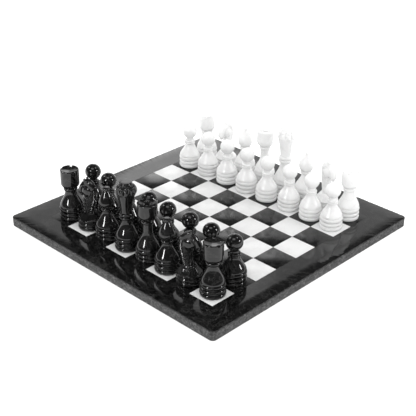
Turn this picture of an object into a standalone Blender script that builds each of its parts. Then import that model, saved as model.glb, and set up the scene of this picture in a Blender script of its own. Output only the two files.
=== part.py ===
"""Stone chess set: an inlaid board on four felt pads, and its 32 turned and carved pieces.

World frame: metres, +Z up. The origin is the middle of the board's underside, on the table.
+X runs along a rank and +Y from the black side to the white side.
"""

import math

import bmesh
import bpy
from mathutils import Matrix, Vector

# Board, metres
SQUARE = 0.0381  # side of one playing square
RANKS = 8
BORDER_WIDTH = 0.0381
BOARD_HEIGHT = 0.0130  # height of the border's sawn edge
TILE_THICKNESS = 0.0060
CORNER_RADIUS = 0.0065
EDGE_CHAMFER = 0.0012
CORNER_STEPS = 3  # flats on half a board corner
KEY_CUT = 0.0008  # how far a tile's corner is cut back where it is keyed to the next
KEY_ROOM = 0.0013  # how far the other colour's corners are cut back to clear that key

# Felt pads under the board
PAD_RADIUS = 0.0090
PAD_THICKNESS = 0.0015
PAD_INSET = 0.0280  # from the side of the field to a pad's centre
PAD_SIDES = 12

CLEARANCE = 0.0003  # between pieces that touch on the real set

# Turned foot, the same on every piece
FOOT_RADIUS = 0.0158
BEAD_DEPTH = 0.0018  # how far a groove lies inside its bead
FOOT_BEADS = (0.0054, 0.0058, 0.0064)  # heights of the three beads, from the foot up
SHOULDER_RADIUS = 0.0152
SHOULDER_RISE = 0.0003  # from the groove over the beads out to the shoulder
BELL_HEIGHT = 0.0210  # of the flared body at its tallest; a stem carries on to the collar
BELL_SLUMP = 0.75  # how low the bell comes in: 1 is an even curve
BELL_HOLLOW = 1.6  # how hollow its upper half is
STEM_TAPER = 0.06  # how much a stem's radius loses on its way up
TURNED_SIDES = 10
SHARP_ANGLE = 50.0  # degrees between faces, past which a turned edge stays crisp

# Pawn
PAWN_NECK_RADIUS = 0.0067
PAWN_FLARE = 0.0178  # from the shoulder up to the collar
PAWN_COLLAR_RADIUS = 0.0074
PAWN_COLLAR = 0.0058
PAWN_STEM_RADIUS = 0.0056
PAWN_STEM = 0.0042
PAWN_BALL_RADIUS = 0.0105

# Rook
ROOK_NECK_RADIUS = 0.0072
ROOK_FLARE = 0.0222
ROOK_COLLAR_RADIUS = 0.0086
ROOK_COLLAR = 0.0054
ROOK_CUP_RADIUS = 0.0121
ROOK_CUP = 0.0250
ROOK_CUP_ROUND = 0.0052  # height of the cup's rounded underside
ROOK_RIM_CHAMFER = 0.0006
ROOK_RIM_WIDTH = 0.0008
ROOK_DISH = 0.0020
ROOK_NOTCHES = 5
ROOK_NOTCH_WIDTH = 0.0030
ROOK_NOTCH_DEPTH = 0.0022
ROOK_NOTCH_LENGTH = 0.0050

# Bishop
BISHOP_NECK_RADIUS = 0.0056
BISHOP_FLARE = 0.0190
BISHOP_COLLAR_RADIUS = 0.0074
BISHOP_COLLAR = 0.0046
BISHOP_STEM_RADIUS = 0.0054
BISHOP_MITRE_RADIUS = 0.0106
BISHOP_MITRE_BELLY = 0.0098  # from the mitre's foot up to its widest point
BISHOP_MITRE_TAPER = 0.0124  # from there up to the button
BISHOP_TAPER_BREAK = 0.6  # share of the taper at which it is half way in
BISHOP_TIP_RADIUS = 0.0028
BISHOP_BUTTON_RADIUS = 0.0044

# Queen
QUEEN_NECK_RADIUS = 0.0058
QUEEN_FLARE = 0.0325
QUEEN_COLLAR_RADIUS = 0.0078
QUEEN_COLLAR = 0.0050
QUEEN_STEM_RADIUS = 0.0058
QUEEN_BOWL_RADIUS = 0.0125
QUEEN_BOWL_ROUND = 0.0095
QUEEN_BOWL = 0.0245
QUEEN_RIM_CHAMFER = 0.0015
QUEEN_RIM_WIDTH = 0.0022
QUEEN_DISH = 0.0034
QUEEN_KNOB_RADIUS = 0.0029
QUEEN_KNOB_FOOT = 0.0023  # radius where the knob meets the dish

# King
KING_NECK_RADIUS = 0.0066
KING_FLARE = 0.0236
KING_COLLAR_RADIUS = 0.0091
KING_COLLARS = (0.0044, 0.0046)
KING_WAIST_RADIUS = 0.0074
KING_BODY_MIDDLE_RADIUS = 0.0093
KING_BODY = 0.0272  # height of the widening body
KING_BODY_TOP_RADIUS = 0.0122
KING_LOBES = 8
KING_LOBE_DEPTH = 0.0018
KING_CROWN_RADIUS = 0.0131
KING_CROWN_BAND = 0.0062
KING_CROWN_WAIST_RADIUS = 0.0108
KING_UPPER_RADIUS = 0.0118
KING_UPPER_BAND = 0.0034
KING_DOME = 0.0051
KING_CAP_RADIUS = 0.0073
KING_CAP = 0.0009  # height of the cap's side, and of its chamfer
KING_CAP_FLAT_RADIUS = 0.0056

# Knight
KNIGHT_BEADS = 2  # of the foot, under the plinth
KNIGHT_PLINTH_RADIUS = 0.0156
KNIGHT_PLINTH_EDGE = 0.0032  # height of the plinth's rim over the beads
KNIGHT_PLINTH_TOP_RADIUS = 0.0106
KNIGHT_PLINTH = 0.0080  # height of its slope
KNIGHT_THICKNESS = 0.0124
KNIGHT_CHAMFER = 0.0024
# The head's side outline, up the chest and the face and down the mane: (x, height above the foot)
KNIGHT_OUTLINE = (
    (0.0082, 0.0180),
    (0.0066, 0.0270),
    (0.0050, 0.0340),
    (0.0046, 0.0415),
    (0.0080, 0.0424),
    (0.0124, 0.0426),
    (0.0150, 0.0462),
    (0.0150, 0.0512),
    (0.0128, 0.0566),
    (0.0094, 0.0622),
    (0.0070, 0.0664),
    (0.0036, 0.0706),
    (-0.0024, 0.0688),
    (-0.0088, 0.0672),
    (-0.0130, 0.0622),
    (-0.0142, 0.0552),
    (-0.0130, 0.0452),
    (-0.0100, 0.0350),
    (-0.0080, 0.0270),
    (-0.0086, 0.0180),
)

# The two colours were turned apart: how their pieces' width and height differ from the sizes above
GIRTH = {"black": 1.03, "white": 0.98}
STATURE = {
    "black": {"pawn": 1.0, "rook": 1.012, "knight": 1.008, "bishop": 1.01, "queen": 1.012, "king": 1.0},
    "white": {"pawn": 1.0, "rook": 1.015, "knight": 1.035, "bishop": 1.04, "queen": 1.035, "king": 1.035},
}

# Pieces that stand off the middle of their squares, and by how much
SET_DOWN = {
    "black_rook_1": (0.0019, 0.0018),
    "black_knight_1": (0.0024, 0.0022),
    "black_bishop_1": (0.0012, 0.0010),
    "black_king": (0.0012, 0.0010),
    "black_queen": (0.0018, 0.0016),
    "black_rook_2": (0.0008, 0.0007),
    "black_pawn_1": (0.0029, 0.0027),
    "black_pawn_3": (0.0012, 0.0010),
    "black_pawn_4": (0.0016, 0.0015),
    "black_pawn_6": (0.0009, 0.0008),
    "white_rook_1": (-0.0011, -0.0010),
    "white_rook_2": (-0.0007, -0.0007),
    "white_pawn_6": (0.0012, 0.0012),
    "white_pawn_7": (0.0014, 0.0013),
}

# How far each carved piece is turned about its own axis, degrees from +X
KNIGHT_TURNS = {"black": (192.0, 25.0), "white": (272.0, -15.0)}
ROOK_TURNS = {"black": (58.0, 58.0), "white": (30.0, 75.0)}

BACK_RANK = {
    "black": ("rook", "knight", "bishop", "king", "queen", "bishop", "knight", "rook"),
    "white": ("rook", "knight", "bishop", "queen", "king", "bishop", "knight", "rook"),
}

FIELD_HALF = RANKS * SQUARE / 2
BOARD_HALF = FIELD_HALF + BORDER_WIDTH
BOARD_BOTTOM = PAD_THICKNESS + CLEARANCE
BOARD_TOP = BOARD_BOTTOM + BOARD_HEIGHT
HALF_GAP = CLEARANCE / 2
PIECE_BOTTOM = BOARD_TOP + CLEARANCE


def clear_scene():
    for thing in list(bpy.data.objects):
        bpy.data.objects.remove(thing)


def stone(name, colour, roughness):
    """A polished or sawn stone: one plain colour here."""
    material = bpy.data.materials.new(name)
    material.use_nodes = True
    shader = material.node_tree.nodes["Principled BSDF"]
    shader.inputs["Base Color"].default_value = (*colour, 1.0)
    shader.inputs["Roughness"].default_value = roughness
    shader.inputs["Metallic"].default_value = 0.0
    return material


def mesh_of(name, vertices, faces, smooth=False):
    """A closed mesh with its faces turned outwards."""
    shape = bmesh.new()
    points = [shape.verts.new(vertex) for vertex in vertices]
    for face in faces:
        shape.faces.new([points[index] for index in face])
    bmesh.ops.recalc_face_normals(shape, faces=shape.faces)
    mesh = bpy.data.meshes.new(name)
    shape.to_mesh(mesh)
    shape.free()
    if smooth:
        mesh.shade_smooth()
        mesh.set_sharp_from_angle(angle=math.radians(SHARP_ANGLE))
    return mesh


def place(name, mesh, material, location=(0, 0, 0), turn=0.0):
    thing = bpy.data.objects.new(name, mesh)
    bpy.context.scene.collection.objects.link(thing)
    thing.location = location
    thing.rotation_euler = (0, 0, math.radians(turn))
    if not mesh.materials:
        mesh.materials.append(material)
    return thing


def loft(outlines):
    """Vertices and faces between outlines of equal length, each a list of (x, y, z), capped at both ends."""
    count = len(outlines[0])
    vertices = [point for outline in outlines for point in outline]
    faces = [tuple(range(count)), tuple(range((len(outlines) - 1) * count, len(outlines) * count))]
    for level in range(len(outlines) - 1):
        low = level * count
        for corner in range(count):
            after = (corner + 1) % count
            faces.append((low + corner, low + after, low + count + after, low + count + corner))
    return vertices, faces


def prism(name, outline, bottom, top):
    vertices, faces = loft([[(x, y, z) for x, y in outline] for z in (bottom, top)])
    return mesh_of(name, vertices, faces)


def combined(name, base, other, operation):
    """The mesh of two meshes joined or cut with an exact Boolean."""
    tool = bpy.data.objects.new(name + "_tool", other)
    body = bpy.data.objects.new(name + "_body", base)
    for thing in (tool, body):
        bpy.context.scene.collection.objects.link(thing)
    tool.hide_render = True
    tool.display_type = "WIRE"
    modifier = body.modifiers.new(operation.lower(), "BOOLEAN")
    modifier.object = tool
    modifier.operation = operation
    modifier.solver = "EXACT"
    graph = bpy.context.evaluated_depsgraph_get()
    mesh = bpy.data.meshes.new_from_object(body.evaluated_get(graph))
    mesh.name = name
    for thing in (tool, body):
        bpy.data.objects.remove(thing)
    return mesh


# ---------------------------------------------------------------- turned profiles


class Profile:
    """The half outline of a turned piece as (radius, height, dip) points, built from the foot up.

    dip is how far every second side is pulled in, which makes lobes.
    """

    def __init__(self):
        self.points = [(FOOT_RADIUS - BEAD_DEPTH, 0.0, 0.0)]

    @property
    def radius(self):
        return self.points[-1][0]

    @property
    def height(self):
        return self.points[-1][1]

    def to(self, radius, rise, dip=0.0):
        self.points.append((radius, self.height + rise, dip))

    def bead(self, height, bulge, end):
        """A rounded ring, from the groove below it to a groove of radius end."""
        self.to(bulge, height / 2)
        self.to(end, height / 2)

    def flare(self, height, neck, steps=3):
        """A bell-shaped run from the shoulder in to the neck."""
        shoulder = self.radius
        low = self.height
        for step in range(1, steps + 1):
            along = step / steps
            share = math.cos(math.pi / 2 * along**BELL_SLUMP) ** BELL_HOLLOW
            self.points.append((neck + (shoulder - neck) * share, low + height * along, 0.0))

    def round_out(self, height, radius, steps=2):
        """A quarter of an ellipse that swells from the present radius to a larger one."""
        start = self.radius
        low = self.height
        for step in range(1, steps + 1):
            angle = math.pi / 2 * step / steps
            out = start + (radius - start) * math.sin(angle)
            self.points.append((out, low + height * (1 - math.cos(angle)), 0.0))

    def ball(self, radius, steps=4):
        """A ball that rises from the present radius and closes on the axis."""
        start = -math.acos(min(1.0, self.radius / radius))
        centre = self.height - radius * math.sin(start)
        for step in range(1, steps + 1):
            angle = start + (math.pi / 2 - start) * step / steps
            self.points.append((radius * math.cos(angle), centre + radius * math.sin(angle), 0.0))


def footed(beads=len(FOOT_BEADS)):
    """The foot that every piece shares, of three beads, or fewer under a knight."""
    profile = Profile()
    for height in FOOT_BEADS[:beads]:
        profile.bead(height, FOOT_RADIUS, FOOT_RADIUS - BEAD_DEPTH)
    return profile


def shouldered(height, neck):
    """The foot with a bell and a stem on it, up to the collar."""
    profile = footed()
    profile.to(SHOULDER_RADIUS, SHOULDER_RISE)
    stem = max(0.0, height - BELL_HEIGHT)
    profile.flare(height - stem, neck + STEM_TAPER * stem)
    if stem:
        profile.to(neck, stem)
    return profile


def turned(name, profile, sides=TURNED_SIDES, smooth=True):
    """The solid that a profile sweeps about the Z axis."""
    on_axis = 1e-6
    rings = [point for point in profile.points if point[0] > on_axis]
    top = profile.height
    vertices = []
    for radius, height, dip in rings:
        for side in range(sides):
            reach = radius - dip * (side % 2)
            angle = 2 * math.pi * side / sides
            vertices.append((reach * math.cos(angle), reach * math.sin(angle), height))
    faces = [tuple(range(sides))]
    for ring in range(len(rings) - 1):
        low = ring * sides
        for side in range(sides):
            after = (side + 1) % sides
            faces.append((low + side, low + after, low + sides + after, low + sides + side))
    last = (len(rings) - 1) * sides
    if profile.radius > on_axis:
        faces.append(tuple(range(last, last + sides)))
    else:
        vertices.append((0.0, 0.0, top))
        for side in range(sides):
            faces.append((last + side, last + (side + 1) % sides, len(vertices) - 1))
    return mesh_of(name, vertices, faces, smooth)


# ---------------------------------------------------------------- the six kinds of piece


def pawn_mesh(name):
    profile = shouldered(PAWN_FLARE, PAWN_NECK_RADIUS)
    profile.bead(PAWN_COLLAR, PAWN_COLLAR_RADIUS, PAWN_STEM_RADIUS)
    profile.to(PAWN_STEM_RADIUS, PAWN_STEM)
    profile.ball(PAWN_BALL_RADIUS)
    return turned(name, profile)


def rook_mesh(name):
    profile = shouldered(ROOK_FLARE, ROOK_NECK_RADIUS)
    profile.bead(ROOK_COLLAR, ROOK_COLLAR_RADIUS, ROOK_NECK_RADIUS)
    profile.round_out(ROOK_CUP_ROUND, ROOK_CUP_RADIUS)
    profile.to(ROOK_CUP_RADIUS, ROOK_CUP - ROOK_CUP_ROUND - ROOK_RIM_CHAMFER)
    rim = ROOK_CUP_RADIUS - ROOK_RIM_WIDTH
    profile.to(rim, ROOK_RIM_CHAMFER)
    profile.to(rim / 2, -ROOK_DISH)
    body = turned(name, profile)
    return combined(name, body, rook_notches(name, profile.height + ROOK_DISH), "DIFFERENCE")


def rook_notches(name, top):
    """Five small slots through the rim, as one set of cutters."""
    vertices = []
    faces = []
    inner = ROOK_CUP_RADIUS - ROOK_NOTCH_LENGTH / 2
    outer = ROOK_CUP_RADIUS + ROOK_NOTCH_LENGTH / 2
    half = ROOK_NOTCH_WIDTH / 2
    corners = ((inner, -half), (outer, -half), (outer, half), (inner, half))
    for notch in range(ROOK_NOTCHES):
        turn = Matrix.Rotation(2 * math.pi * notch / ROOK_NOTCHES, 3, "Z")
        levels = (top - ROOK_NOTCH_DEPTH, top + ROOK_NOTCH_DEPTH)
        outlines = [[turn @ Vector((x, y, z)) for x, y in corners] for z in levels]
        points, sides = loft(outlines)
        faces += [tuple(index + len(vertices) for index in side) for side in sides]
        vertices += points
    return mesh_of(name + "_notches", vertices, faces)


def bishop_mesh(name):
    profile = shouldered(BISHOP_FLARE, BISHOP_NECK_RADIUS)
    profile.bead(BISHOP_COLLAR, BISHOP_COLLAR_RADIUS, BISHOP_STEM_RADIUS)
    profile.round_out(BISHOP_MITRE_BELLY, BISHOP_MITRE_RADIUS)
    profile.to((BISHOP_MITRE_RADIUS + BISHOP_TIP_RADIUS) / 2, BISHOP_MITRE_TAPER * BISHOP_TAPER_BREAK)
    profile.to(BISHOP_TIP_RADIUS, BISHOP_MITRE_TAPER * (1 - BISHOP_TAPER_BREAK))
    profile.ball(BISHOP_BUTTON_RADIUS)
    return turned(name, profile)


def queen_mesh(name):
    profile = shouldered(QUEEN_FLARE, QUEEN_NECK_RADIUS)
    profile.bead(QUEEN_COLLAR, QUEEN_COLLAR_RADIUS, QUEEN_STEM_RADIUS)
    profile.round_out(QUEEN_BOWL_ROUND, QUEEN_BOWL_RADIUS, 3)
    profile.to(QUEEN_BOWL_RADIUS, QUEEN_BOWL - QUEEN_BOWL_ROUND - QUEEN_RIM_CHAMFER)
    rim = QUEEN_BOWL_RADIUS - QUEEN_RIM_WIDTH
    profile.to(rim, QUEEN_RIM_CHAMFER)
    profile.to(QUEEN_KNOB_FOOT, -QUEEN_DISH)
    profile.ball(QUEEN_KNOB_RADIUS, 3)
    return turned(name, profile)


def king_mesh(name):
    profile = shouldered(KING_FLARE, KING_NECK_RADIUS)
    for height in KING_COLLARS:
        profile.bead(height, KING_COLLAR_RADIUS, KING_WAIST_RADIUS)
    profile.to(KING_BODY_MIDDLE_RADIUS, KING_BODY / 2)
    profile.to(KING_BODY_TOP_RADIUS, KING_BODY / 2)
    half_band = KING_CROWN_BAND / 2
    profile.to(KING_CROWN_RADIUS, half_band, KING_LOBE_DEPTH)
    profile.to(KING_CROWN_WAIST_RADIUS, half_band, KING_LOBE_DEPTH / 2)
    profile.to(KING_UPPER_RADIUS, KING_UPPER_BAND, KING_LOBE_DEPTH)
    profile.to(KING_CAP_RADIUS, KING_DOME)
    profile.to(KING_CAP_RADIUS, KING_CAP)
    profile.to(KING_CAP_FLAT_RADIUS, KING_CAP)
    return turned(name, profile, 2 * KING_LOBES)


def knight_mesh(name):
    """A carved head on the turned foot: the side outline given a thickness, with its edges cut back."""
    profile = footed(KNIGHT_BEADS)
    profile.to(KNIGHT_PLINTH_RADIUS, KNIGHT_PLINTH_EDGE)
    profile.to(KNIGHT_PLINTH_TOP_RADIUS, KNIGHT_PLINTH)
    foot = turned(name + "_foot", profile)
    half = KNIGHT_THICKNESS / 2
    inner = inset(KNIGHT_OUTLINE, KNIGHT_CHAMFER)
    edge = half - KNIGHT_CHAMFER
    flats = ((inner, -half), (KNIGHT_OUTLINE, -edge), (KNIGHT_OUTLINE, edge), (inner, half))
    vertices, faces = loft([[(x, y, z) for x, z in points] for points, y in flats])
    head = mesh_of(name + "_head", vertices, faces)
    return combined(name, head, foot, "UNION")


def inset(outline, distance):
    """The outline moved inwards by a distance, point by point along the bisector of its two sides."""
    area = sum(a[0] * b[1] - b[0] * a[1] for a, b in zip(outline, outline[1:] + outline[:1]))
    turn = math.copysign(1.0, area)
    moved = []
    for index, point in enumerate(outline):
        here = Vector(point)
        back = (here - Vector(outline[index - 1])).normalized()
        on = (Vector(outline[(index + 1) % len(outline)]) - here).normalized()
        inward = (Vector((-back.y, back.x)) + Vector((-on.y, on.x))).normalized() * turn
        moved.append(tuple(here + inward * distance))
    return moved


MESH_MAKERS = {
    "pawn": pawn_mesh,
    "rook": rook_mesh,
    "knight": knight_mesh,
    "bishop": bishop_mesh,
    "queen": queen_mesh,
    "king": king_mesh,
}


def square_centre(file, rank):
    return ((file + 0.5) * SQUARE - FIELD_HALF, (rank + 0.5) * SQUARE - FIELD_HALF)


def spot(name, file, rank):
    """Where a piece stands: the middle of its square, or a little off it."""
    x, y = square_centre(file, rank)
    off_x, off_y = SET_DOWN.get(name, (0.0, 0.0))
    return (x + off_x, y + off_y, PIECE_BOTTOM)


def build_army(side, material, back_rank, pawn_rank):
    """Sixteen pieces on their squares, each with its origin on its own axis at its foot."""
    meshes = {kind: maker(side + "_" + kind) for kind, maker in MESH_MAKERS.items()}
    for kind, mesh in meshes.items():
        mesh.transform(Matrix.Diagonal((GIRTH[side], GIRTH[side], STATURE[side][kind], 1.0)))
    turns = {"knight": list(KNIGHT_TURNS[side]), "rook": list(ROOK_TURNS[side])}
    seen = {}
    for file, kind in enumerate(BACK_RANK[side]):
        seen[kind] = seen.get(kind, 0) + 1
        name = side + "_" + kind
        if BACK_RANK[side].count(kind) > 1:
            name += f"_{seen[kind]}"
        turn = turns[kind][seen[kind] - 1] if kind in turns else 0.0
        place(name, meshes[kind], material, spot(name, file, back_rank), turn)
    for file in range(RANKS):
        name = f"{side}_pawn_{file + 1}"
        place(name, meshes["pawn"], material, spot(name, file, pawn_rank))


# ---------------------------------------------------------------- the board


def quarter_turn(points, quarters):
    for _ in range(quarters):
        points = [(-y, x) for x, y in points]
    return points


def border_outline(outer_inset):
    """The -Y border strip in plan: a mitre at each end, and half of each rounded board corner."""
    inner = FIELD_HALF + HALF_GAP
    outer = BOARD_HALF - outer_inset
    radius = CORNER_RADIUS - outer_inset
    mitre = HALF_GAP * math.sqrt(2)
    centre = outer - radius
    right = []
    for step in range(CORNER_STEPS + 1):
        angle = -math.pi / 2 + math.pi / 4 * step / CORNER_STEPS
        right.append((centre + radius * math.cos(angle), -centre + radius * math.sin(angle)))
    on_mitre = right[-1]
    right[-1] = (on_mitre[0] - mitre / 2, on_mitre[1] - mitre / 2)
    right.append((inner - mitre, -inner))
    left = [(-x, y) for x, y in reversed(right)]
    return left + right


def build_border(material):
    levels = ((0.0, BOARD_BOTTOM), (0.0, BOARD_TOP - EDGE_CHAMFER), (EDGE_CHAMFER, BOARD_TOP))
    for quarters, name in enumerate(("black_side", "right_side", "white_side", "left_side")):
        outlines = []
        for outer_inset, z in levels:
            plan = quarter_turn(border_outline(outer_inset), quarters)
            outlines.append([(x, y, z) for x, y in plan])
        vertices, faces = loft(outlines)
        place("border_" + name, mesh_of("border_" + name, vertices, faces), material)


def build_slab(material):
    half = FIELD_HALF - HALF_GAP
    outline = [(-half, -half), (half, -half), (half, half), (-half, half)]
    top = BOARD_TOP - TILE_THICKNESS - CLEARANCE
    place("backing_slab", prism("backing_slab", outline, BOARD_BOTTOM, top), material)


def tile_edge(half, keyed_before, keyed_after):
    """One side of a tile in a diagonal run, from its lower left corner to its upper right one."""
    start = [(KEY_CUT - half, -half)] if keyed_before else [(-half, -half)]
    end = [(half, half - KEY_CUT)] if keyed_after else [(half, half)]
    return start + [(half - KEY_ROOM, -half), (half, KEY_ROOM - half)] + end


def run_outline(offset):
    """A diagonal run of tiles of one colour, file - rank = offset, keyed to each other at their corners."""
    half = SQUARE / 2 - HALF_GAP
    tiles = [(file, file - offset) for file in range(RANKS) if 0 <= file - offset < RANKS]
    lower = []
    upper = []
    for index, tile in enumerate(tiles):
        x, y = square_centre(*tile)
        keyed_before = index > 0
        keyed_after = index < len(tiles) - 1
        edge = tile_edge(half, keyed_before, keyed_after)
        lower += [(x + dx, y + dy) for dx, dy in edge]
        mirrored = [(x + dy, y + dx) for dx, dy in edge]
        upper += mirrored[0 if keyed_before else 1 : None if keyed_after else -1]
    return lower + upper[::-1]


def build_tiles(black, white):
    counts = {"black": 0, "white": 0}
    for offset in range(1 - RANKS, RANKS):
        colour = "white" if offset % 2 else "black"
        counts[colour] += 1
        name = f"{colour}_tiles_{counts[colour]}"
        mesh = prism(name, run_outline(offset), BOARD_TOP - TILE_THICKNESS, BOARD_TOP)
        place(name, mesh, white if colour == "white" else black)


def build_pads(material):
    reach = FIELD_HALF - PAD_INSET
    for index, (x, y) in enumerate(((-1, -1), (1, -1), (1, 1), (-1, 1))):
        outline = []
        for side in range(PAD_SIDES):
            angle = 2 * math.pi * side / PAD_SIDES
            outline.append((PAD_RADIUS * math.cos(angle), PAD_RADIUS * math.sin(angle)))
        name = f"felt_pad_{index + 1}"
        place(name, prism(name, outline, 0.0, PAD_THICKNESS), material, (x * reach, y * reach, 0.0))


def main():
    clear_scene()
    black = stone("black_marble", (0.018, 0.018, 0.020), 0.12)
    white = stone("white_marble", (0.86, 0.85, 0.83), 0.15)
    backing = stone("grey_backing_stone", (0.10, 0.10, 0.10), 0.60)
    felt = stone("green_felt", (0.02, 0.07, 0.04), 0.95)
    build_slab(backing)
    build_border(black)
    build_tiles(black, white)
    build_pads(felt)
    build_army("black", black, 0, 1)
    build_army("white", white, RANKS - 1, RANKS - 2)


main()
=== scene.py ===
"""Looks of the stone chess set: an inlaid, mitred board and 32 turned and carved marble pieces."""

import math
import random

import bmesh
import bpy
import numpy as np
from mathutils import Matrix, Vector, noise


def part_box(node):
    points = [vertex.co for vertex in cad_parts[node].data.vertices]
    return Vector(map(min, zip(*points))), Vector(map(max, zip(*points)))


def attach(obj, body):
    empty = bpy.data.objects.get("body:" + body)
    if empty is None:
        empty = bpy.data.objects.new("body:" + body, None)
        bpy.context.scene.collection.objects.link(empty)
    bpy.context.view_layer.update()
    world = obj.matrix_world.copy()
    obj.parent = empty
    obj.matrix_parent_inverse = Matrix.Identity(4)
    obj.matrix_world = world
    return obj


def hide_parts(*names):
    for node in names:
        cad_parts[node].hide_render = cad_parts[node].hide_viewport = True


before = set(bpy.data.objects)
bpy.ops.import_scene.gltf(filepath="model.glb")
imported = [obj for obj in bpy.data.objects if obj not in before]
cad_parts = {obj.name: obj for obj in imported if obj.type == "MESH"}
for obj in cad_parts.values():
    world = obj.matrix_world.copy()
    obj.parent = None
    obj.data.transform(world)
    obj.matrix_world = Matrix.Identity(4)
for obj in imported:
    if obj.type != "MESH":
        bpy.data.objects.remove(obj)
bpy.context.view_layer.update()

MM = 0.001
GAP = 0.0003  # between touching CAD solids
RANKS = 8
BOARD = "board"

# ---------------------------------------------------------------- measures taken from the frame

FIELD_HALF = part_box("backing_slab")[1].x + GAP / 2
SQUARE = 2 * FIELD_HALF / RANKS
BOARD_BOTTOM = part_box("border_black_side")[0].z
BOARD_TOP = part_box("border_black_side")[1].z
BOARD_HALF = -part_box("border_black_side")[0].y
TILE_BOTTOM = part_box("black_tiles_1")[0].z
PIECE_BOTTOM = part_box("black_king")[0].z
CORNER_RADIUS = 0.0065

BACK_RANK = {
    "black": ("rook", "knight", "bishop", "king", "queen", "bishop", "knight", "rook"),
    "white": ("rook", "knight", "bishop", "queen", "king", "bishop", "knight", "rook"),
}
# How far each carved piece is turned about its own axis, degrees from +X, by file
TURNS = {
    "black": {0: 58.0, 1: 192.0, 6: 25.0, 7: 58.0},
    "white": {0: 30.0, 1: 272.0, 6: -15.0, 7: 75.0},
}


def square_centre(file, rank):
    return ((file + 0.5) * SQUARE - FIELD_HALF, (rank + 0.5) * SQUARE - FIELD_HALF)


def vertex_array(mesh, layer, attribute):
    values = np.empty(len(layer) * 3, np.float32)
    layer.foreach_get(attribute, values)
    return values.reshape(-1, 3).astype(float)


def axis_of(node):
    """Where a piece stands: the middle of the ring at its foot."""
    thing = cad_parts[node]
    turn = np.array(thing.matrix_world)
    points = vertex_array(thing.data, thing.data.vertices, "co") @ turn[:3, :3].T + turn[:3, 3]
    foot = points[points[:, 2] < points[:, 2].min() + 0.0002]
    return float(foot[:, 0].mean()), float(foot[:, 1].mean())


# ---------------------------------------------------------------- materials


class Nodes:
    """A material's node tree, with short calls for the nodes that the stones use."""

    def __init__(self, name, roughness=0.5):
        self.material = bpy.data.materials.new(name)
        self.material.use_nodes = True
        self.tree = self.material.node_tree
        self.shader = self.tree.nodes["Principled BSDF"]
        self.shader.inputs["Roughness"].default_value = roughness
        self.where = None

    def add(self, kind, **settings):
        node = self.tree.nodes.new(kind)
        for key, value in settings.items():
            setattr(node, key, value)
        return node

    def link(self, source, target):
        self.tree.links.new(source, target)

    def coordinates(self, vary):
        """Object coordinates. With vary, each object reads another part of the stone."""
        place = self.add("ShaderNodeTexCoord").outputs["Object"]
        if vary:
            info = self.add("ShaderNodeObjectInfo")
            spread = self.add("ShaderNodeVectorMath", operation="SCALE")
            spread.inputs[0].default_value = (3.1, 1.7, 2.3)
            self.link(info.outputs["Random"], spread.inputs["Scale"])
            shift = self.add("ShaderNodeVectorMath", operation="ADD")
            self.link(place, shift.inputs[0])
            self.link(spread.outputs[0], shift.inputs[1])
            place = shift.outputs[0]
        self.where = place
        return place

    def noise(self, scale, detail=4.0, distortion=0.0, rough=0.5):
        node = self.add("ShaderNodeTexNoise")
        node.inputs["Scale"].default_value = scale
        node.inputs["Detail"].default_value = detail
        node.inputs["Roughness"].default_value = rough
        node.inputs["Distortion"].default_value = distortion
        self.link(self.where, node.inputs["Vector"])
        return node.outputs["Fac"]

    def cells(self, scale, feature="F1"):
        node = self.add("ShaderNodeTexVoronoi", feature=feature)
        node.inputs["Scale"].default_value = scale
        self.link(self.where, node.inputs["Vector"])
        return node.outputs["Distance"]

    def ramp(self, source, *stops):
        """A colour ramp. Each stop is (position, grey) or (position, (r, g, b))."""
        node = self.add("ShaderNodeValToRGB")
        band = node.color_ramp
        while len(band.elements) < len(stops):
            band.elements.new(0.5)
        for element, (position, colour) in zip(band.elements, stops):
            element.position = position
            shade = colour if isinstance(colour, tuple) else (colour, colour, colour)
            element.color = (*shade, 1.0)
        self.link(source, node.inputs["Fac"])
        return node.outputs["Color"]

    def mix(self, factor, first, second, blend="MIX"):
        node = self.add("ShaderNodeMix", data_type="RGBA", blend_type=blend)
        for socket, value in ((node.inputs[0], factor), (node.inputs[6], first), (node.inputs[7], second)):
            if isinstance(value, (int, float)):
                socket.default_value = value
            elif isinstance(value, tuple):
                socket.default_value = (*value, 1.0)
            else:
                self.link(value, socket)
        return node.outputs[2]

    def span(self, source, low, high):
        """source, from 0 to 1, mapped to low to high."""
        node = self.add("ShaderNodeMapRange")
        node.inputs["To Min"].default_value = low
        node.inputs["To Max"].default_value = high
        self.link(source, node.inputs["Value"])
        return node.outputs["Result"]

    def bump(self, source, distance, strength=1.0):
        node = self.add("ShaderNodeBump")
        node.inputs["Distance"].default_value = distance
        node.inputs["Strength"].default_value = strength
        self.link(source, node.inputs["Height"])
        self.link(node.outputs["Normal"], self.shader.inputs["Normal"])

    def colour(self, source):
        self.link(source, self.shader.inputs["Base Color"])

    def roughness(self, source):
        self.link(source, self.shader.inputs["Roughness"])


def polished_black(name, dull=0.0):
    """Near-black marble: charcoal clouds, hair-thin paler veins and sparse pale flecks under a hand polish."""
    stone = Nodes(name)
    stone.coordinates(True)
    clouds = stone.ramp(stone.noise(55.0, 6.0, 0.8), (0.36, 0.0030), (0.62, 0.0075), (0.82, 0.017))
    veins = stone.ramp(stone.noise(24.0, 7.0, 2.2, 0.62), (0.470, 0.0), (0.495, 1.0), (0.520, 0.0))
    flecks = stone.ramp(stone.cells(900.0), (0.0, 1.0), (0.16, 0.0))
    veined = stone.mix(stone.span(veins, 0.0, 0.30), clouds, (0.075, 0.074, 0.072))
    stone.colour(stone.mix(stone.span(flecks, 0.0, 0.45), veined, (0.085, 0.085, 0.082)))
    stone.roughness(stone.span(stone.noise(160.0, 5.0), 0.035 + dull, 0.12 + dull))
    stone.bump(stone.noise(420.0, 3.0), 0.00002, 0.5)
    stone.shader.inputs["IOR"].default_value = 1.54
    return stone.material


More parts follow.
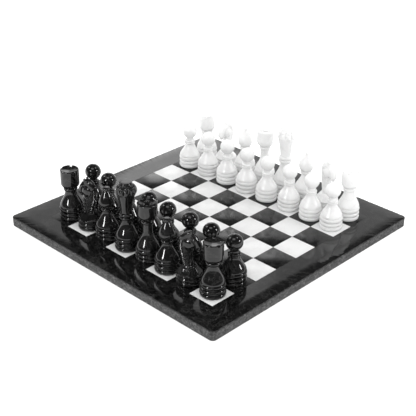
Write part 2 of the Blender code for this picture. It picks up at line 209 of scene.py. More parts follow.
def polished_white(name, bright, depth):
    """White marble with soft grey veins and a faint warmth. Light sinks depth metres into it."""
    stone = Nodes(name)
    stone.coordinates(True)
    shades = [tuple(bright * shade for shade in tint) for tint in ((0.93, 0.93, 0.93), (1.0, 1.0, 0.995), (1.03, 1.03, 1.03))]
    clouds = stone.ramp(stone.noise(38.0, 6.0, 0.7), *zip((0.30, 0.55, 0.80), shades))
    veins = stone.ramp(stone.noise(19.0, 8.0, 2.6, 0.6), (0.475, 0.0), (0.497, 1.0), (0.525, 0.0))
    stone.colour(stone.mix(stone.span(veins, 0.0, 0.25), clouds, (0.66, 0.66, 0.66)))
    stone.roughness(stone.span(stone.noise(150.0, 5.0), 0.12, 0.26))
    stone.bump(stone.noise(420.0, 3.0), 0.00002, 0.5)
    stone.shader.inputs["IOR"].default_value = 1.50
    stone.shader.inputs["Subsurface Weight"].default_value = 0.6
    stone.shader.inputs["Subsurface Radius"].default_value = (1.0, 1.0, 1.0)
    stone.shader.inputs["Subsurface Scale"].default_value = depth
    return stone.material


def rough_black(name, dark, pale, polished_to=None):
    """Sawn and chipped dark stone: crystals that read pale grey, with pits. It is darker near the polished top."""
    stone = Nodes(name)
    stone.coordinates(False)
    grain = stone.ramp(stone.noise(430.0, 9.0, 0.4, 0.78), (0.34, dark), (0.50, (dark + pale) / 3.5), (0.64, pale))
    patches = stone.ramp(stone.noise(110.0, 5.0, 0.6), (0.35, 0.45), (0.68, 1.0))
    colour = stone.mix(1.0, grain, patches, "MULTIPLY")
    if polished_to:
        height = stone.add("ShaderNodeSeparateXYZ")
        stone.link(stone.where, height.inputs[0])
        ragged = stone.add("ShaderNodeMath", operation="MULTIPLY_ADD")
        stone.link(stone.noise(240.0, 6.0), ragged.inputs[0])
        ragged.inputs[1].default_value = -0.0075
        stone.link(height.outputs["Z"], ragged.inputs[2])
        fade = stone.add("ShaderNodeMapRange")
        fade.inputs["From Min"].default_value = polished_to - 0.0056
        fade.inputs["From Max"].default_value = polished_to - 0.0042
        fade.inputs["To Min"].default_value = 1.0
        fade.inputs["To Max"].default_value = 0.38
        stone.link(ragged.outputs[0], fade.inputs["Value"])
        colour = stone.mix(1.0, colour, fade.outputs["Result"], "MULTIPLY")
    stone.colour(colour)
    stone.roughness(stone.span(stone.noise(500.0, 3.0), 0.55, 0.92))
    stone.bump(stone.noise(700.0, 8.0, 0.3, 0.7), 0.0007, 0.9)
    return stone.material


def felt(name):
    """Short green felt."""
    cloth = Nodes(name, 0.95)
    cloth.coordinates(True)
    cloth.colour(cloth.ramp(cloth.noise(1400.0, 6.0, 1.2, 0.7), (0.3, (0.006, 0.030, 0.016)), (0.7, (0.022, 0.085, 0.045))))
    cloth.bump(cloth.noise(2600.0, 4.0, 1.5), 0.0003, 0.8)
    cloth.shader.inputs["Sheen Weight"].default_value = 0.5
    cloth.shader.inputs["Sheen Roughness"].default_value = 0.4
    return cloth.material


BLACK = polished_black("polished_black_marble")
BLACK_TILE = polished_black("honed_black_marble", 0.13)
# Painted light: the pieces' white marble is set brighter (0.92) than the same marble in the tiles (0.81), to offset
# the shade that neighbouring pieces and the black board cast on the pieces.
WHITE = polished_white("polished_white_marble_with_painted_light", 0.92, 0.004)
WHITE_TILE = polished_white("inlaid_white_marble", 0.81, 0.0015)
EDGE = rough_black("rough_black_edge", 0.010, 0.24, BOARD_TOP)
SAWN = rough_black("sawn_backing_stone", 0.05, 0.14)
FELT = felt("green_felt_cloth")
STONES = {"black": (BLACK, "black_marble"), "white": (WHITE, "white_marble")}
TILES = {"black": (BLACK_TILE, "black_marble"), "white": (WHITE_TILE, "white_marble")}

# ---------------------------------------------------------------- meshes and pieces


def finished(name, shape, sharp=40.0):
    """A mesh from a bmesh, faces out, shaded smooth up to sharp degrees."""
    bmesh.ops.recalc_face_normals(shape, faces=shape.faces)
    mesh = bpy.data.meshes.new(name)
    shape.to_mesh(mesh)
    shape.free()
    return shaded(mesh, sharp)


def piece(name, mesh, body, replaced, materials, location=(0, 0, 0), turn=0.0):
    """A visible piece that rides on a body and stands for a CAD node."""
    thing = bpy.data.objects.new(name, mesh)
    bpy.context.scene.collection.objects.link(thing)
    thing.location = location
    thing.rotation_euler = (0, 0, math.radians(turn))
    if not mesh.materials:
        for material in materials:
            mesh.materials.append(material)
    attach(thing, body)
    if replaced:
        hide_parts(*replaced)
    return thing


class Profile:
    """The half outline of a turned piece in millimetres: (radius, height, lobe depth) from the foot up."""

    def __init__(self):
        self.points = [(0.0, 0.0, 0.0), (12.0, 0.0, 0.0)]

    @property
    def radius(self):
        return self.points[-1][0]

    @property
    def height(self):
        return self.points[-1][1]

    def to(self, radius, rise, dip=0.0):
        self.points.append((radius, self.height + rise, dip))

    def run(self, height, shape, steps, dip=lambda along: 0.0):
        """A stretch of that height whose radius is shape(0 to 1)."""
        low = self.height
        for step in range(1, steps + 1):
            along = step / steps
            self.points.append((shape(along), low + height * along, dip(along)))

    def bead(self, height, bulge, end, steps=12):
        """A rounded ring between two grooves."""
        start = self.radius
        low = self.height
        for step in range(1, steps + 1):
            angle = math.pi * step / steps
            along = (1 - math.cos(angle)) / 2
            base = start + (end - start) * along
            self.points.append((base + (bulge - base) * math.sin(angle) ** 0.9, low + height * along, 0.0))

    def flare(self, height, neck, steps=24):
        """The bell-shaped body, from the shoulder in to the neck."""
        shoulder = self.radius
        self.run(height, lambda t: neck + (shoulder - neck) * math.cos(math.pi / 2 * t**0.75) ** 1.6, steps)

    def swell(self, height, radius, steps=12):
        """A quarter of an ellipse out to a larger radius."""
        start = self.radius
        low = self.height
        for step in range(1, steps + 1):
            angle = math.pi / 2 * step / steps
            out = start + (radius - start) * math.sin(angle)
            self.points.append((out, low + height * (1 - math.cos(angle)), 0.0))

    def ball(self, radius, steps=26):
        start = -math.acos(min(1.0, self.radius / radius))
        centre = self.height - radius * math.sin(start)
        for step in range(1, steps + 1):
            angle = start + (math.pi / 2 - start) * step / steps
            self.points.append((max(0.0, radius * math.cos(angle)), centre + radius * math.sin(angle), 0.0))


FOOT_RADIUS = 15.8
GROOVE_RADIUS = 13.2
FOOT_BEADS = (5.4, 5.8, 6.4)
BELL_HEIGHT = 21.0


def footed(beads=len(FOOT_BEADS)):
    """The beads that every piece stands on."""
    profile = Profile()
    profile.to(14.6, 0.0)
    profile.to(15.2, 0.4)
    profile.bead(FOOT_BEADS[0] - 0.4, FOOT_RADIUS, GROOVE_RADIUS)
    for height in FOOT_BEADS[1:beads]:
        profile.bead(height, FOOT_RADIUS, GROOVE_RADIUS)
    return profile


def shouldered(height, neck):
    """The beads with a bell and a stem on them, up to the collar."""
    profile = footed()
    profile.to(14.2, 0.15)
    profile.to(15.0, 0.45)
    stem = max(0.0, height - BELL_HEIGHT)
    profile.flare(height - stem - 0.3, neck + 0.06 * stem)
    wide = profile.radius
    if stem:
        profile.run(stem, lambda t: wide + (neck - wide) * t, 5)
    return profile


def fitted(mesh, node):
    """Brings a piece's mesh to the girth and the height of its CAD node."""
    low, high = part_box(node)
    foot_low, foot_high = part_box(node.split("_")[0] + "_pawn_1")
    girth = (foot_high.x - foot_low.x) / (2 * FOOT_RADIUS * MM)
    top = max(corner[2] for corner in vertex_array(mesh, mesh.vertices, "co"))
    mesh.transform(Matrix.Diagonal((girth, girth, (high.z - low.z) / top, 1.0)))
    return mesh


def shaded(mesh, sharp=40.0):
    mesh.shade_smooth()
    mesh.set_sharp_from_angle(angle=math.radians(sharp))
    return mesh


def revolve(name, profile, sides=96, change=None, lobes=8):
    """The solid that a profile sweeps. change(angles, radii, height) may move a ring's points in their half planes."""
    angles = 2 * np.pi * np.arange(sides) / sides
    scallop = 1 - np.abs(np.cos(lobes / 2 * angles)) ** 0.8
    points = []
    rings = []
    for radius, height, dip in profile.points:
        if radius < 1e-4:
            rings.append(np.full(sides, len(points)))
            points.append((0.0, 0.0, height))
            continue
        reach = radius - dip * scallop
        lift = np.full(sides, height)
        if change:
            reach, lift = change(angles, reach, lift)
        rings.append(len(points) + np.arange(sides))
        points.extend(zip(reach * np.cos(angles), reach * np.sin(angles), lift))
    faces = []
    for low, high in zip(rings, rings[1:]):
        after_low = np.roll(low, -1)
        after_high = np.roll(high, -1)
        if low[0] == low[1]:
            faces.extend(zip(low, after_high, high))
        elif high[0] == high[1]:
            faces.extend(zip(low, after_low, high))
        else:
            faces.extend(zip(low, after_low, after_high, high))
    mesh = bpy.data.meshes.new(name)
    mesh.from_pydata(np.array(points) * MM, [], [tuple(int(corner) for corner in face) for face in faces])
    return shaded(mesh)


# ---------------------------------------------------------------- the turned pieces


def pawn_mesh(name, wide=1.0):
    profile = shouldered(17.8, 6.7)
    profile.bead(2.8, 7.6, 6.4)
    profile.bead(3.0, 7.7, 5.6)
    profile.run(4.2, lambda t: 5.6 - 0.5 * math.sin(math.pi * t), 6)
    profile.ball(10.5 * wide)
    return revolve(name, profile)


def rook_mesh(name, wide=1.0):
    cup = 12.1 * wide
    profile = shouldered(22.2, 7.2)
    profile.bead(5.4, 9.0, 6.7)
    profile.swell(5.2, cup)
    profile.run(15.4, lambda t: cup, 6)
    profile.run(3.5, lambda t: cup, 10)
    rim = profile.height
    profile.to(cup - 0.25, 0.35)
    profile.to(cup - 0.7, 0.55)
    inner = profile.radius
    profile.run(-2.3, lambda t: inner * (1 - t), 14)
    dish = profile.points[-14:]
    floor = profile.height
    for index, (radius, _, _) in enumerate(dish):
        profile.points[index - 14] = (radius, floor + 2.3 * (radius / inner) ** 2, 0.0)
    notches = 5
    half_width = math.radians(8.5)
    depth = 2.3

    def notched(angles, reach, lift):
        radius = reach[0]
        if radius < inner - 2.6 or lift[0] < rim - depth:
            return reach, lift
        off = (angles + math.pi / notches) % (2 * math.pi / notches) - math.pi / notches
        across = np.minimum(1.0, np.abs(off) / half_width)
        bottom = rim + 0.6 - depth * (1 - across**4)
        return reach, np.where(across < 1.0, np.minimum(lift, bottom), lift)

    return revolve(name, profile, 200, notched)


def bishop_mesh(name, wide=1.0):
    profile = shouldered(19.0, 5.8)
    profile.bead(4.6, 7.6, 5.4)
    profile.swell(7.6, 10.5 * wide, 16)
    belly = profile.radius
    if name.startswith("white"):
        profile.run(15.4, lambda t: 2.0 + (belly - 2.0) * math.cos(math.pi / 2 * t) ** 1.05, 20)
        profile.swell(1.6, 2.7, 6)
        profile.run(4.2, lambda t: 2.7 * math.cos(math.pi / 2 * t) ** 0.7, 14)
        return revolve(name, profile)
    profile.run(14.8, lambda t: 3.6 + (belly - 3.6) * (1 - t**1.25) ** 0.95, 20)
    profile.swell(1.6, 5.0, 7)
    profile.run(1.9, lambda t: 5.0 - 0.2 * t**2, 4)
    profile.run(0.7, lambda t: 4.8 - 0.9 * (1 - math.cos(math.pi / 2 * t)), 5)
    profile.run(0.35, lambda t: 3.9 * math.cos(math.pi / 2 * t) ** 0.5, 6)
    return revolve(name, profile)


def queen_mesh(name, wide=1.0):
    profile = shouldered(32.5, 5.8)
    profile.bead(5.0, 8.0, 5.9)
    bowl = 12.5 * wide
    profile.swell(9.5, bowl, 16)
    profile.run(13.4, lambda t: bowl - 0.25 * math.sin(math.pi * t), 6)
    profile.to(bowl - 0.35, 0.5)
    profile.run(1.1, lambda t: bowl - 0.35 - 1.9 * t, 4)
    inner = profile.radius
    profile.run(-2.2, lambda t: inner - 4.2 * t**1.4, 7)
    profile.to(profile.radius - 0.5, -0.5)
    profile.to(profile.radius - 0.5, 0.5)
    floor = profile.radius
    profile.run(-0.6, lambda t: floor + (2.4 - floor) * t, 5)
    profile.ball(3.1, 14)
    return revolve(name, profile)


def king_mesh(name, wide=1.0):
    profile = shouldered(23.6, 6.8)
    profile.bead(4.4, 9.2, 7.3)
    profile.bead(4.6, 9.3, 7.3)
    profile.run(26.4, lambda t: 7.3 + 4.5 * wide * t**1.45, 18, lambda t: 0.7 * t**4)
    low = profile.radius
    crown = 13.3 * wide
    profile.run(7.4, lambda t: low + (crown - low) * math.sin(math.pi * t) ** 0.6 - 1.0 * t, 14, lambda t: 0.7 + 2.4 * math.sin(math.pi * t))
    upper = profile.radius
    profile.run(4.4, lambda t: upper + (12.3 - upper) * math.sin(math.pi * t) ** 0.6 - 2.0 * t, 12, lambda t: 0.7 + 1.9 * math.sin(math.pi * t))
    shoulder = profile.radius
    profile.run(1.2, lambda t: shoulder - (shoulder - 8.4) * t**1.2, 6, lambda t: 0.7 * (1 - t))
    profile.run(1.4, lambda t: 8.4 - 0.9 * math.sin(math.pi / 2 * t), 5)
    profile.run(1.1, lambda t: 7.5 + 0.5 * math.sin(math.pi * t), 6)
    cap = profile.radius
    profile.run(0.25, lambda t: cap * math.cos(math.pi / 2 * t) ** 0.5, 10)
    return revolve(name, profile, 160)


# ---------------------------------------------------------------- the knight


def ellipse_loft(shape, sections, sides=28, power=2.3):
    """A closed tube of rounded sections: (x, z, lean, half depth, half thickness); lean turns a section."""
    rings = []
    for x, z, lean, deep, thick in sections:
        ring = []
        across = Vector((math.cos(math.radians(lean)), 0.0, math.sin(math.radians(lean))))
        for side in range(sides):
            angle = 2 * math.pi * side / sides
            u = math.copysign(abs(math.cos(angle)) ** (2 / power), math.cos(angle))
            v = math.copysign(abs(math.sin(angle)) ** (2 / power), math.sin(angle))
            point = Vector((x, 0.0, z)) + across * (deep * u) + Vector((0.0, thick * v, 0.0))
            ring.append(shape.verts.new(point * MM))
        rings.append(ring)
    for low, high in zip(rings, rings[1:]):
        for side in range(sides):
            after = (side + 1) % sides
            shape.faces.new((low[side], low[after], high[after], high[side]))
    shape.faces.new(rings[0])
    shape.faces.new(rings[-1])


def blob(shape, centre, radii, lean=0.0):
    """An ellipsoid, leaned in the side view."""
    turn = Matrix.Rotation(math.radians(-lean), 4, "Y")
    size = Matrix.Diagonal((*(value * MM for value in radii), 1.0))
    place = Matrix.Translation(Vector(centre) * MM)
    bmesh.ops.create_icosphere(shape, subdivisions=3, radius=1.0, matrix=place @ turn @ size)


def remeshed(name, shape, voxel):
    """Overlapping solids fused into one skin."""
    rough = bpy.data.meshes.new(name)
    bmesh.ops.recalc_face_normals(shape, faces=shape.faces)
    shape.to_mesh(rough)
    shape.free()
    holder = bpy.data.objects.new(name, rough)
    bpy.context.scene.collection.objects.link(holder)
    fuse = holder.modifiers.new("fuse", "REMESH")
    fuse.mode = "VOXEL"
    fuse.voxel_size = voxel
    smooth = holder.modifiers.new("smooth", "SMOOTH")
    smooth.factor = 0.5
    smooth.iterations = 2
    graph = bpy.context.evaluated_depsgraph_get()
    mesh = bpy.data.meshes.new_from_object(holder.evaluated_get(graph))
    bpy.data.objects.remove(holder)
    return mesh


def distance_to(points, line):
    """Distances in the side view from points to a polyline, and how far along it each lies, 0 to 1."""
    nearest = np.full(len(points), 1e9)
    share = np.zeros(len(points))
    for index, (start, end) in enumerate(zip(line, line[1:])):
        a = np.array(start)
        b = np.array(end) - a
        along = np.clip(((points - a) @ b) / (b @ b), 0, 1)
        away = np.linalg.norm(a + along[:, None] * b - points, axis=1)
        closer = away < nearest
        nearest = np.where(closer, away, nearest)
        share = np.where(closer, (index + along) / (len(line) - 1), share)
    return nearest, share


MOUTH = ((15.6, 45.4), (12.4, 46.0), (9.6, 46.6))
JOWL = (0.6, 52.2)
JOWL_RADIUS = 7.4
CHEST_FLUTES = (((3.4, 43.0), (4.2, 33.0), (6.0, 22.0)),)
MANE_CUTS = 15


def mane_lines():
    """Slanting cuts over the side of the neck, each back and up to the crest."""
    lines = []
    for cut in range(MANE_CUTS):
        z = 20.5 + 2.2 * cut
        lines.append(((3.0, z - 1.8), (-1.6, z + 0.4), (-7.0, z + 3.6), (-15.0, z + 8.0)))
    return lines


def carve(mesh):
    """Cuts the mouth, the nostrils, the rings of the jowls, the flutes of the chest and the locks of the mane."""
    here = vertex_array(mesh, mesh.vertices, "co") / MM
    outward = vertex_array(mesh, mesh.vertex_normals, "vector")
    flat = here[:, [0, 2]]
    above = here[:, 2] > 24.0
    lines = [(MOUTH, 0.5, 1.0)] + [(line, 0.8, 0.7) for line in CHEST_FLUTES]
    lines += [(line, 0.66, 1.25) for line in mane_lines()]
    sink = np.zeros(len(here))
    jowl = np.linalg.norm(flat - np.array(JOWL), axis=1)
    outside = jowl > JOWL_RADIUS + 0.4
    for line, width, depth in lines:
        away, _ = distance_to(flat, line)
        sink = np.maximum(sink, depth * np.exp(-((away / width) ** 2)) * outside)
    sink = np.maximum(sink, 1.4 * np.exp(-(((jowl - JOWL_RADIUS - 0.5) / 0.8) ** 2)))
    nostril = np.linalg.norm(flat - np.array((13.2, 49.4)), axis=1) / 0.8
    sink += 0.9 * np.exp(-(nostril**2)) * (np.abs(here[:, 1]) > 1.0)
    sink *= above
    mesh.vertices.foreach_set("co", ((here - outward * sink[:, None]) * MM).astype(np.float32).ravel())
    mesh.update()


def octagonal(angles, reach, lift):
    """Eight flats on the plinth's slope."""
    if lift[0] < 15.2:
        return reach, lift
    off = (angles + math.pi / 8) % (math.pi / 4) - math.pi / 8
    return reach * math.cos(math.pi / 8) / np.cos(off), lift


def knight_mesh(name):
    profile = footed(2)
    profile.to(14.6, 0.3)
    profile.run(2.4, lambda t: 14.6 + 1.5 * math.sin(math.pi / 2 * t), 6)
    profile.to(16.1, 0.9)
    profile.to(15.6, 0.4)
    profile.run(7.3, lambda t: 15.9 - 6.1 * t**0.85, 8)
    foot = profile.radius
    profile.run(1.6, lambda t: foot * (1 - t), 4)
    base = revolve(name + "_base", profile, 96, octagonal)
    shape = bmesh.new()
    shape.from_mesh(base)
    neck = (
        (0.0, 17.0, 0, 8.2, 7.6),
        (-0.2, 22.0, 0, 8.0, 7.0),
        (-0.8, 27.0, 0, 7.2, 6.6),
        (-2.5, 34.0, -2, 7.5, 6.1),
        (-3.6, 40.0, -2, 8.3, 5.8),
        (-4.2, 46.0, 0, 9.0, 5.7),
        (-4.2, 52.0, 4, 9.7, 5.5),
        (-3.2, 58.0, 10, 10.3, 5.2),
        (-2.2, 63.0, 14, 9.4, 4.8),
        (-1.6, 66.6, 18, 6.4, 4.0),
        (-1.0, 68.6, 20, 3.2, 2.6),
    )
    head = (
        (0.0, 60.6, 48, 7.6, 4.9),
        (3.6, 58.0, 47, 8.2, 5.5),
        (6.8, 55.0, 45, 7.2, 5.3),
        (9.4, 52.2, 43, 6.0, 4.8),
        (11.4, 49.8, 41, 5.2, 4.4),
        (12.8, 48.0, 38, 4.5, 4.0),
        (13.8, 46.8, 36, 3.2, 3.0),
    )
    ellipse_loft(shape, neck)
    ellipse_loft(shape, head)
    for side in (-1, 1):
        blob(shape, (JOWL[0], side * 3.3, JOWL[1]), (JOWL_RADIUS, 3.6, JOWL_RADIUS))
        blob(shape, (7.0, side * 4.0, 59.6), (2.3, 1.7, 1.5), 40)
        blob(shape, (6.8, side * 4.9, 58.2), (1.15, 1.0, 1.0))
        blob(shape, (13.0, side * 2.7, 49.6), (1.9, 1.6, 1.7))
        blob(shape, (3.4, side * 2.9, 67.0), (2.0, 1.6, 3.8), -14)
    blob(shape, (5.2, 0.0, 65.4), (2.2, 2.2, 2.8), 30)
    blob(shape, (11.6, 0.0, 44.8), (2.6, 2.6, 1.5), 10)
    mesh = remeshed(name, shape, 0.00045)
    carve(mesh)
    return shaded(mesh, 60.0)


MAKERS = {
    "pawn": pawn_mesh,
    "rook": rook_mesh,
    "bishop": bishop_mesh,
    "queen": queen_mesh,
    "king": king_mesh,
}

# ---------------------------------------------------------------- the armies


def felt_disc_mesh():
    """The thin felt glued under each piece."""
    profile = Profile()
    profile.points = [(0.0, 0.0, 0.0), (14.3, 0.0, 0.0), (14.5, 0.12, 0.0), (14.3, 0.26, 0.0), (0.0, 0.26, 0.0)]
    return revolve("felt_disc", profile, 72)


def build_army(side, draw, disc, carved):
    material, slot = STONES[side]
    knight = fitted(carved.copy(), side + "_knight_1")
    kinds = [(kind, file) for file, kind in enumerate(BACK_RANK[side])]
    kinds += [("pawn", file) for file in range(RANKS)]
    counts = {}
    for kind, file in kinds:
        counts[kind] = counts.get(kind, 0) + 1
        node = f"{side}_{kind}"
        if kind not in ("king", "queen"):
            node += f"_{counts[kind]}"
        mesh = knight
        if kind != "knight":
            mesh = fitted(MAKERS[kind](node + "_turned", 1.0 + draw.uniform(-0.012, 0.012)), node)
        x, y = axis_of(node)
        turn = TURNS[side].get(file, 0.0) if kind in ("rook", "knight") else draw.uniform(0.0, 360.0)
        if kind in ("queen", "king"):
            turn = 11.0
        piece(node + "_stone", mesh, node, [node], [material], (x, y, PIECE_BOTTOM), turn)
        piece(node + "_felt_disc", disc, node, [], [FELT], (x, y, BOARD_TOP + 0.00003))


# ---------------------------------------------------------------- the board


def tile_mesh():
    """One polished square with its arrises just broken."""
    shape = bmesh.new()
    size = SQUARE - 0.00008
    centre = (BOARD_TOP + TILE_BOTTOM) / 2 - BOARD_TOP
    matrix = Matrix.Translation((0, 0, centre)) @ Matrix.Diagonal((size, size, BOARD_TOP - TILE_BOTTOM, 1.0))
    bmesh.ops.create_cube(shape, size=1.0, matrix=matrix)
    top = [edge for edge in shape.edges if all(vertex.co.z > centre for vertex in edge.verts)]
    bmesh.ops.bevel(shape, geom=top, offset=0.00012, segments=2, affect="EDGES", profile=0.5)
    return finished("tile", shape, 60.0)


def build_tiles():
    meshes = {colour: tile_mesh() for colour in ("black", "white")}
    for file in range(RANKS):
        for rank in range(RANKS):
            colour = "white" if (file + rank) % 2 else "black"
            run = (file - rank + RANKS + (colour == "white")) // 2
            name = f"tile_{'abcdefgh'[file]}{rank + 1}"
            material, slot = TILES[colour]
            place = (*square_centre(file, rank), BOARD_TOP)
            piece(name, meshes[colour], BOARD, [f"{colour}_tiles_{run}"], [material], place)


def outline_stations(count=300, corner=10):
    """The -Y side of the board's outline from mitre to mitre: (x, y, outward x, outward y, share of the way)."""
    centre = BOARD_HALF - CORNER_RADIUS
    stations = []
    for step in range(corner):
        angle = math.radians(-135 + 45 * step / corner)
        stations.append((-centre + CORNER_RADIUS * math.cos(angle), -centre + CORNER_RADIUS * math.sin(angle),
                         math.cos(angle), math.sin(angle)))
    for step in range(count + 1):
        stations.append((-centre + 2 * centre * step / count, -BOARD_HALF, 0.0, -1.0))
    for step in range(1, corner + 1):
        angle = math.radians(-90 + 45 * step / corner)
        stations.append((centre + CORNER_RADIUS * math.cos(angle), -centre + CORNER_RADIUS * math.sin(angle),
                         math.cos(angle), math.sin(angle)))
    return stations


def wear(x, y, z, scale, seed):
    return noise.noise(Vector((x * scale + seed, y * scale, z * scale)))


def border_mesh(name, seed):
    """A mitred border strip: polished top, and an outer edge left rough, with a ragged arris."""
    inner = FIELD_HALF + 0.00006
    height = BOARD_TOP - BOARD_BOTTOM
    shape = bmesh.new()
    loops = []
    stations = outline_stations()
    reach = BOARD_HALF - CORNER_RADIUS * (1 - math.sqrt(0.5))
    for x, y, nx, ny in stations:
        share = max(-1.0, min(1.0, x / reach))
        root = Vector((share * inner, -inner, 0.0))
        edge = Vector((x, y, 0.0))
        out = Vector((nx, ny, 0.0))
        ragged = 0.0004 + 0.0005 * wear(x, y, 0.0, 260.0, seed) + 0.0004 * wear(x, y, 0.3, 900.0, seed)
        chip = max(0.0, wear(x, y, 0.7, 120.0, seed) - 0.25) * 0.0016
        ragged = max(0.00025, ragged) + chip
        loop = [(root, BOARD_BOTTOM), (root, BOARD_TOP - 0.00012), (root.lerp(edge, 0.003), BOARD_TOP)]
        loop.append((root.lerp(edge, 0.5), BOARD_TOP))
        loop.append((edge - out * (ragged + 0.0006), BOARD_TOP))
        for drop, pull in ((0.0002, 0.80), (0.0006, 0.42), (0.0013, 0.15)):
            loop.append((edge - out * (ragged * pull), BOARD_TOP - drop * (1 + 0.5 * wear(x, y, drop, 500.0, seed))))
        for level in range(1, 9):
            z = BOARD_TOP - 0.0013 - (height - 0.0017) * level / 8
            rough = 0.00022 * (1 + wear(x, y, z, 420.0, seed)) + 0.00012 * (1 + wear(x, y, z, 1500.0, seed))
            loop.append((edge - out * rough, z))
        loop.append((edge - out * 0.0007, BOARD_BOTTOM))
        loops.append([shape.verts.new((point.x, point.y, z)) for point, z in loop])
    count = len(loops[0])
    for first, second in zip(loops, loops[1:]):
        for corner in range(count):
            after = (corner + 1) % count
            face = shape.faces.new((first[corner], second[corner], second[after], first[after]))
            face.material_index = 1 if 4 <= corner < count else 0
    for loop in (loops[0], loops[-1]):
        shape.faces.new(loop).material_index = 1
    return finished(name, shape, 35.0)


def build_border():
    for quarter, side in enumerate(("black_side", "right_side", "white_side", "left_side")):
        name = "border_" + side
        mesh = border_mesh(name + "_strip", 11.0 * quarter)
        piece(name + "_strip", mesh, BOARD, [name], [BLACK, EDGE], turn=90.0 * quarter)


def build_pads():
    for index in range(1, 5):
        node = f"felt_pad_{index}"
        low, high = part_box(node)
        radius = (high.x - low.x) / 2 / MM
        thick = (high.z - low.z) / MM
        profile = Profile()
        profile.points = [(0.0, 0.0, 0.0), (radius - 0.3, 0.0, 0.0), (radius, 0.35, 0.0), (radius, thick - 0.2, 0.0),
                          (radius - 0.2, thick, 0.0), (0.0, thick, 0.0)]
        centre = (low + high) / 2
        mesh = revolve(node + "_round", profile, 64)
        piece(node + "_round", mesh, BOARD, [node], [FELT], (centre.x, centre.y, low.z))


def dress_slab():
    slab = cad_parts["backing_slab"]
    slab.data.materials.clear()
    slab.data.materials.append(SAWN)


# ---------------------------------------------------------------- studio

CAMERA_AZIMUTH = 43.828
CAMERA_ELEVATION = 28.945
CAMERA_DISTANCE = 1.3201
CAMERA_ROLL = 0.666
TENT_LIGHT = 1.26  # what matt surfaces receive from every side
MIRRORED_ROOM = 0.07  # what polish mirrors where nothing bright stands
WALL_LIGHT = 2.1  # of the bright wall beyond the board, at its foot


def towards(azimuth, elevation):
    a = math.radians(azimuth)
    e = math.radians(elevation)
    return Vector((math.sin(a) * math.cos(e), -math.cos(a) * math.cos(e), math.sin(e)))


def camera_axes():
    back = towards(CAMERA_AZIMUTH, CAMERA_ELEVATION)
    right = Vector((0, 0, 1)).cross(back).normalized()
    up = back.cross(right)
    return right, up, back


def build_camera():
    right, up, back = camera_axes()
    roll = math.radians(CAMERA_ROLL)
    across = right * math.cos(roll) + up * math.sin(roll)
    upward = up * math.cos(roll) - right * math.sin(roll)
    lens = bpy.data.cameras.new("camera")
    lens.lens = 84.03
    lens.sensor_width = 36.0
    lens.shift_x = -0.0035
    lens.shift_y = 0.0207
    camera = bpy.data.objects.new("camera", lens)
    bpy.context.scene.collection.objects.link(camera)
    turn = Matrix((across, upward, back)).transposed().to_4x4()
    camera.matrix_world = Matrix.Translation(Vector((0, 0, BOARD_TOP)) + back * CAMERA_DISTANCE) @ turn
    bpy.context.scene.camera = camera


def softbox(name, azimuth, elevation, distance, width, height, power, glossy_only=True):
    """A rectangular area light that faces the board. Most only add their mirror image to polished stone."""
    light = bpy.data.lights.new(name, "AREA")
    light.shape = "RECTANGLE"
    light.size = width
    light.size_y = height
    light.energy = power
    thing = bpy.data.objects.new(name, light)
    bpy.context.scene.collection.objects.link(thing)
    away = towards(azimuth, elevation)
    thing.location = Vector((0, 0, 0.05)) + away * distance
    thing.rotation_mode = "QUATERNION"
    thing.rotation_quaternion = away.to_track_quat("Z", "Y")
    thing.visible_diffuse = not glossy_only


class WorldNodes:
    """Short calls for the studio's node tree."""

    def __init__(self, tree):
        self.tree = tree

    def add(self, kind, *sources, **settings):
        node = self.tree.nodes.new(kind)
        for key, value in settings.items():
            setattr(node, key, value)
        for socket, source in zip(node.inputs, sources):
            if isinstance(source, bpy.types.NodeSocket):
                self.tree.links.new(source, socket)
            elif source is not None:
                socket.default_value = source
        return node

    def step(self, source, start, end, low, high):
        """low before start and high after end, with a smooth run between."""
        node = self.add("ShaderNodeMapRange", source, start, end, low, high, interpolation_type="SMOOTHSTEP")
        return node.outputs["Result"]

    def math(self, operation, *sources):
        return self.add("ShaderNodeMath", *sources, operation=operation).outputs[0]


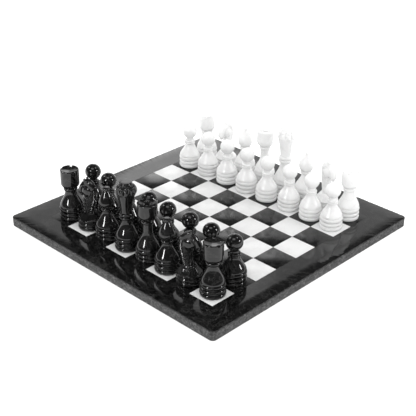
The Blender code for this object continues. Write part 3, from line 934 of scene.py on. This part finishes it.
def build_world():
    """An even white light tent. What polish mirrors is a bright wall beyond the board and a dim room in front."""
    world = bpy.data.worlds.new("studio")
    bpy.context.scene.world = world
    world.use_nodes = True
    world.cycles.sampling_method = "NONE"
    nodes = WorldNodes(world.node_tree)
    ground = world.node_tree.nodes["Background"]
    direction = nodes.add("ShaderNodeTexCoord").outputs["Generated"]
    height = nodes.add("ShaderNodeSeparateXYZ", direction).outputs["Z"]
    across = nodes.add("ShaderNodeVectorMath", direction, towards(CAMERA_AZIMUTH + 90, 0), operation="DOT_PRODUCT")
    beyond = nodes.add("ShaderNodeVectorMath", direction, towards(CAMERA_AZIMUTH + 180, 0), operation="DOT_PRODUCT")
    aside = nodes.math("ARCTAN2", across.outputs["Value"], beyond.outputs["Value"])
    wall = nodes.add("ShaderNodeValToRGB", height)
    stops = (
        (0.0, 0.70), (0.43, 0.80), (0.449, 0.92), (0.458, 0.90), (0.477, 0.80), (0.50, 0.74), (0.525, 0.56), (0.546, 0.52), (0.555, 0.40),
        (0.5635, 0.20), (0.574, 0.05), (0.60, 0.0),
    )
    while len(wall.color_ramp.elements) < len(stops):
        wall.color_ramp.elements.new(0.5)
    for element, (position, light) in zip(wall.color_ramp.elements, stops):
        element.position = position
        element.color = (light, light, light, 1.0)
    right_fall = nodes.step(aside, math.radians(2.5), math.radians(5.5), 1.0, 0.40)
    left_fall = nodes.step(aside, math.radians(-10.0), math.radians(-6.0), 0.38, 1.0)
    side_fall = nodes.step(nodes.math("ABSOLUTE", aside), math.radians(25.0), math.radians(80.0), 1.0, 0.12)
    spread = nodes.math("MULTIPLY", nodes.math("MULTIPLY", right_fall, left_fall), side_fall)
    lit = nodes.math("MULTIPLY", nodes.math("MULTIPLY", wall.outputs["Color"], spread), WALL_LIGHT)
    mirrored = nodes.math("ADD", lit, MIRRORED_ROOM)
    path = nodes.add("ShaderNodeLightPath")
    strength = nodes.add("ShaderNodeMix", path.outputs["Is Diffuse Ray"], None, mirrored, TENT_LIGHT)
    shown = nodes.math("MAXIMUM", strength.outputs[0], path.outputs["Is Camera Ray"])
    world.node_tree.links.new(shown, ground.inputs["Strength"])
    ground.inputs["Color"].default_value = (1.0, 1.0, 1.0, 1.0)


def build_floor():
    shape = bmesh.new()
    half = 6.0
    corners = [shape.verts.new((x, y, -0.0002)) for x, y in ((-half, -half), (half, -half), (half, half), (-half, half))]
    shape.faces.new(corners)
    mesh = finished("floor", shape)
    floor = bpy.data.objects.new("floor", mesh)
    bpy.context.scene.collection.objects.link(floor)
    paper = Nodes("floor_paper", 0.9)
    paper.coordinates(False)
    paper.colour(paper.ramp(paper.noise(3.0, 2.0), (0.0, 0.38), (1.0, 0.42)))
    paper.shader.inputs["Specular IOR Level"].default_value = 0.1
    paper.shader.inputs["Emission Color"].default_value = (1.0, 1.0, 1.0, 1.0)
    paper.shader.inputs["Emission Strength"].default_value = 0.86
    mesh.materials.append(paper.material)


def main():
    draw = random.Random(7)
    build_tiles()
    build_border()
    build_pads()
    dress_slab()
    disc = felt_disc_mesh()
    carved = knight_mesh("knight_carved")
    build_army("black", draw, disc, carved)
    build_army("white", draw, disc, carved)
    build_floor()
    build_world()
    softbox("left_softbox", CAMERA_AZIMUTH - 42, 25, 1.6, 0.18, 0.40, 9.0)
    softbox("right_softbox", CAMERA_AZIMUTH + 73, 24, 1.6, 0.16, 0.36, 6.0)
    softbox("rear_left_softbox", CAMERA_AZIMUTH - 109, 40, 1.6, 0.30, 0.30, 2.0)
    softbox("high_right_softbox", CAMERA_AZIMUTH + 97, 60, 1.6, 0.30, 0.30, 2.0)
    softbox("overhead", CAMERA_AZIMUTH - 20, 66, 1.6, 0.9, 0.6, 3.4)
    build_camera()
    bpy.context.scene.view_settings.view_transform = "Standard"


main()
